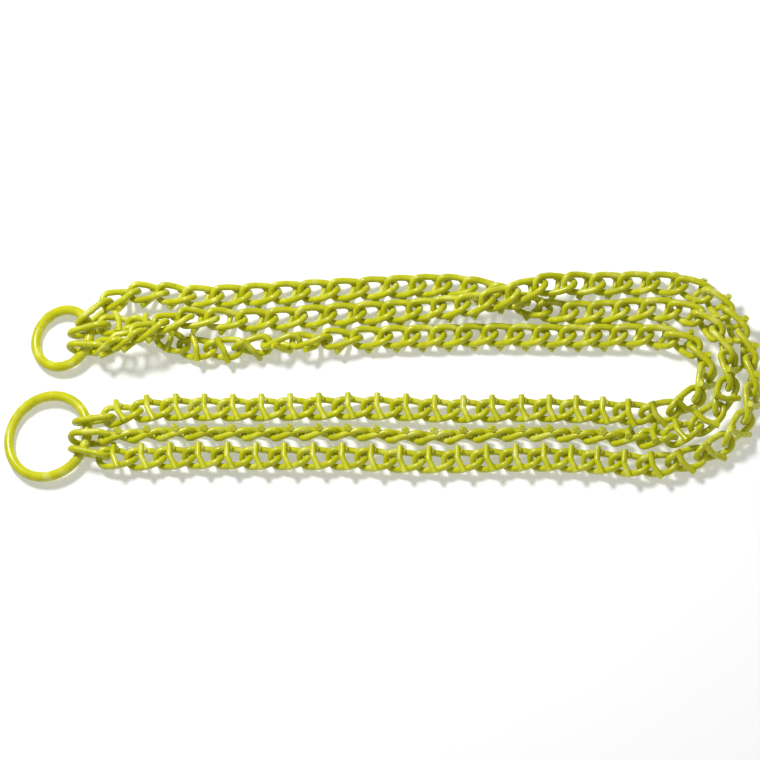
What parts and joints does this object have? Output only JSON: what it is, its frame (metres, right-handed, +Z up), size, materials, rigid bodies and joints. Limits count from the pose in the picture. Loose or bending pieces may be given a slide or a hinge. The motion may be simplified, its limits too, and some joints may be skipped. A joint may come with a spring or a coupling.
{
  "type": "chain sling",
  "caption": "Folded chain sling: a large and a small round ring joined by strands of twisted-link chain, each link crossed by a welded V-shaped bar.",
  "frame": {"origin": "centre of the underside of the bounding box of the folded sling as it lies on a flat surface", "axes": "+Z up from the surface; +X along the strands, from the rings towards the bend; +Y from the front rows towards the back rows"},
  "size_m": [0.7874, 0.223, 0.0491],
  "materials": {
    "ring_paint": "gloss",
    "link_paint": "gloss",
    "bar_paint": "gloss",
    "connecting_link_paint": "gloss"
  },
  "bodies": {
    "front_1_section": {"front_1_inner_links": "link_paint", "front_1_middle_links": "link_paint", "front_1_outer_links": "link_paint", "front_1_v_bars": "bar_paint"},
    "front_2_section": {"front_2_inner_links": "link_paint", "front_2_middle_links": "link_paint", "front_2_outer_links": "link_paint", "front_2_v_bars": "bar_paint"},
    "front_3_section": {"front_3_inner_links": "link_paint", "front_3_middle_links": "link_paint", "front_3_outer_links": "link_paint", "front_3_v_bars": "bar_paint"},
    "front_4_section": {"front_4_inner_links": "link_paint", "front_4_middle_links": "link_paint", "front_4_outer_links": "link_paint", "front_4_v_bars": "bar_paint"},
    "front_5_section": {"front_5_inner_links": "link_paint", "front_5_middle_links": "link_paint", "front_5_outer_links": "link_paint", "front_5_v_bars": "bar_paint"},
    "front_6_section": {"front_6_inner_links": "link_paint", "front_6_middle_links": "link_paint", "front_6_outer_links": "link_paint", "front_6_v_bars": "bar_paint"},
    "bend_section": {"bend_inner_links": "link_paint", "bend_middle_links": "link_paint", "bend_outer_links": "link_paint", "bend_v_bars": "bar_paint"},
    "back_1_section": {"back_1_inner_links": "link_paint", "back_1_middle_links": "link_paint", "back_1_outer_links": "link_paint", "back_1_v_bars": "bar_paint"},
    "back_2_section": {"back_2_inner_links": "link_paint", "back_2_middle_links": "link_paint", "back_2_outer_links": "link_paint", "back_2_v_bars": "bar_paint"},
    "back_3_section": {"back_3_inner_links": "link_paint", "back_3_middle_links": "link_paint", "back_3_outer_links": "link_paint", "back_3_v_bars": "bar_paint"},
    "back_4_section": {"back_4_inner_links": "link_paint", "back_4_middle_links": "link_paint", "back_4_outer_links": "link_paint", "back_4_v_bars": "bar_paint"},
    "back_5_section": {"back_5_inner_links": "link_paint", "back_5_middle_links": "link_paint", "back_5_outer_links": "link_paint", "back_5_v_bars": "bar_paint"},
    "large_ring_connecting_links": {"large_ring_inner_connecting_link": "connecting_link_paint", "large_ring_middle_connecting_link": "connecting_link_paint", "large_ring_outer_connecting_link": "connecting_link_paint"},
    "small_ring_connecting_links": {"small_ring_inner_connecting_link": "connecting_link_paint", "small_ring_middle_connecting_link": "connecting_link_paint", "small_ring_outer_connecting_link": "connecting_link_paint"},
    "large_end_ring": {"large_ring": "ring_paint"},
    "small_end_ring": {"small_ring": "ring_paint"}
  },
  "joints": [
    {"name": "front_6_fold", "type": "hinge", "parent": "bend_section", "child": "front_6_section", "pos_m": [0.25026, -0.06084, 0.01266], "axis": [0, 1, 0], "range_deg": [0, 12]},
    {"name": "front_5_fold", "type": "hinge", "parent": "front_6_section", "child": "front_5_section", "pos_m": [0.16776, -0.06084, 0.01266], "axis": [0, 1, 0], "range_deg": [0, 12]},
    {"name": "front_4_fold", "type": "hinge", "parent": "front_5_section", "child": "front_4_section", "pos_m": [0.07826, -0.06084, 0.01266], "axis": [0, 1, 0], "range_deg": [0, 12]},
    {"name": "front_3_fold", "type": "hinge", "parent": "front_4_section", "child": "front_3_section", "pos_m": [-0.01224, -0.06084, 0.01266], "axis": [0, 1, 0], "range_deg": [0, 12]},
    {"name": "front_2_fold", "type": "hinge", "parent": "front_3_section", "child": "front_2_section", "pos_m": [-0.10274, -0.06084, 0.01266], "axis": [0, 1, 0], "range_deg": [0, 12]},
    {"name": "front_1_fold", "type": "hinge", "parent": "front_2_section", "child": "front_1_section", "pos_m": [-0.19324, -0.06084, 0.01266], "axis": [0, 1, 0], "range_deg": [0, 12]},
    {"name": "large_ring_connecting_links_fold", "type": "hinge", "parent": "front_1_section", "child": "large_ring_connecting_links", "pos_m": [-0.28374, -0.06384, 0.01366], "axis": [0, 1, 0], "range_deg": [0, 15]},
    {"name": "large_end_ring_flip", "type": "hinge", "parent": "large_ring_connecting_links", "child": "large_end_ring", "pos_m": [-0.30444, -0.06384, 0.01366], "axis": [0, 1, 0], "range_deg": [0, 20]},
    {"name": "back_1_fold", "type": "hinge", "parent": "bend_section", "child": "back_1_section", "pos_m": [0.24076, 0.06616, 0.01266], "axis": [0, 1, 0], "range_deg": [0, 10]},
    {"name": "back_2_fold", "type": "hinge", "parent": "back_1_section", "child": "back_2_section", "pos_m": [0.18776, 0.06616, 0.01566], "axis": [0, 1, 0], "range_deg": [0, 6]},
    {"name": "back_3_fold", "type": "hinge", "parent": "back_2_section", "child": "back_3_section", "pos_m": [-0.00024, 0.06616, 0.01366], "axis": [0, 1, 0], "range_deg": [0, 8]},
    {"name": "back_4_fold", "type": "hinge", "parent": "back_3_section", "child": "back_4_section", "pos_m": [-0.09224, 0.06616, 0.01366], "axis": [0, 1, 0], "range_deg": [0, 10]},
    {"name": "back_5_fold", "type": "hinge", "parent": "back_4_section", "child": "back_5_section", "pos_m": [-0.18424, 0.06616, 0.01366], "axis": [0, 1, 0], "range_deg": [0, 8]},
    {"name": "small_ring_connecting_links_fold", "type": "hinge", "parent": "back_5_section", "child": "small_ring_connecting_links", "pos_m": [-0.29974, 0.04816, 0.01566], "axis": [0, 1, 0], "range_deg": [0, 15]},
    {"name": "small_end_ring_flip", "type": "hinge", "parent": "small_ring_connecting_links", "child": "small_end_ring", "pos_m": [-0.31974, 0.04116, 0.01266], "axis": [0, 1, 0], "range_deg": [0, 12]}
  ]
}
